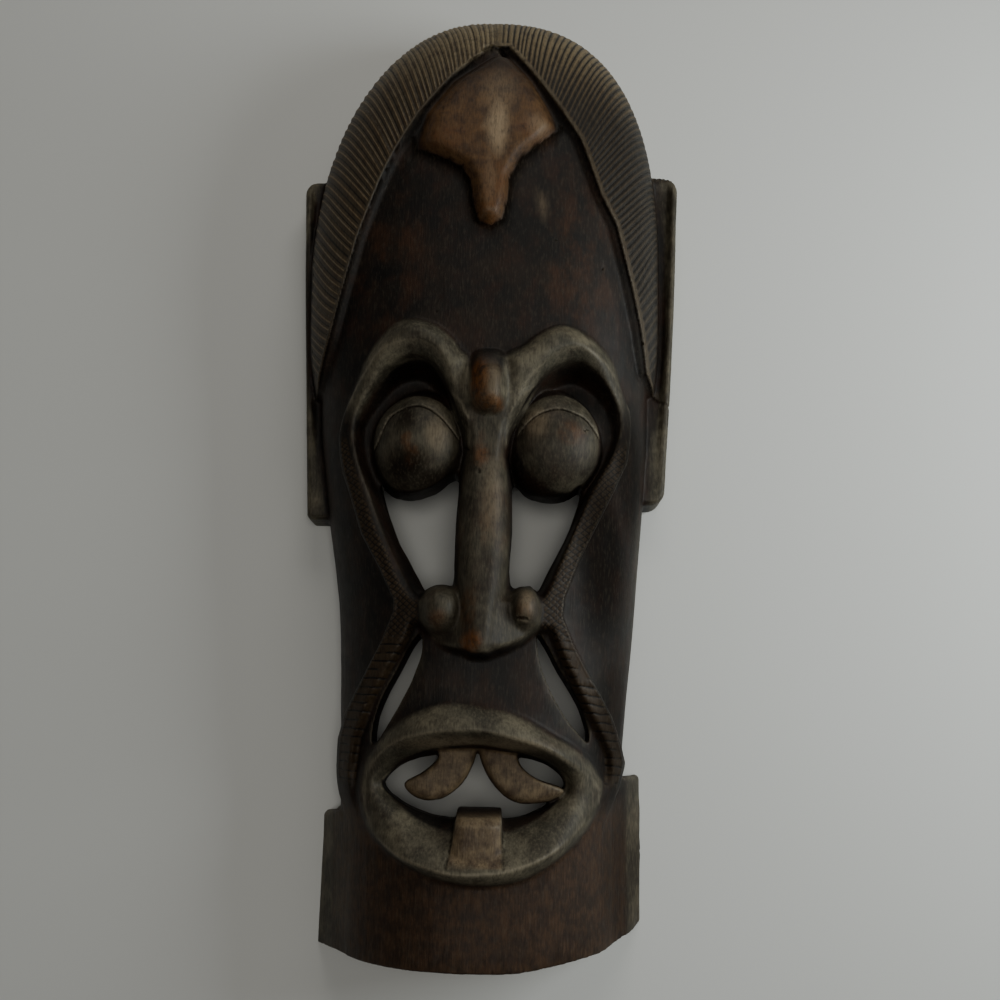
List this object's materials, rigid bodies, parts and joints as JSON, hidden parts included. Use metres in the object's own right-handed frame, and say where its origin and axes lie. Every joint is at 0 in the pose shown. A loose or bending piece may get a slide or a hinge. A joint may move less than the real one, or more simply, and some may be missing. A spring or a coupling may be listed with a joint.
{
  "type": "wooden mask",
  "caption": "Long carved wooden face mask lying on its back rim, with grooved hair, round ball eyes, pierced cheeks, an open mouth with teeth, ear flaps and a beard block. Hollow behind.",
  "frame": {"origin": "middle of the box around the mask, on the flat back rim it lies on", "axes": "+Z out of the face, +Y from chin to crown, +X to the viewer's right when facing the mask"},
  "size_m": [0.2499, 0.6, 0.1059],
  "materials": {
    "wood": "stained nearly black, rubbed to a dull polish, worn lighter on raised places"
  },
  "bodies": {
    "root": {"mask": "wood"}
  },
  "joints": []
}
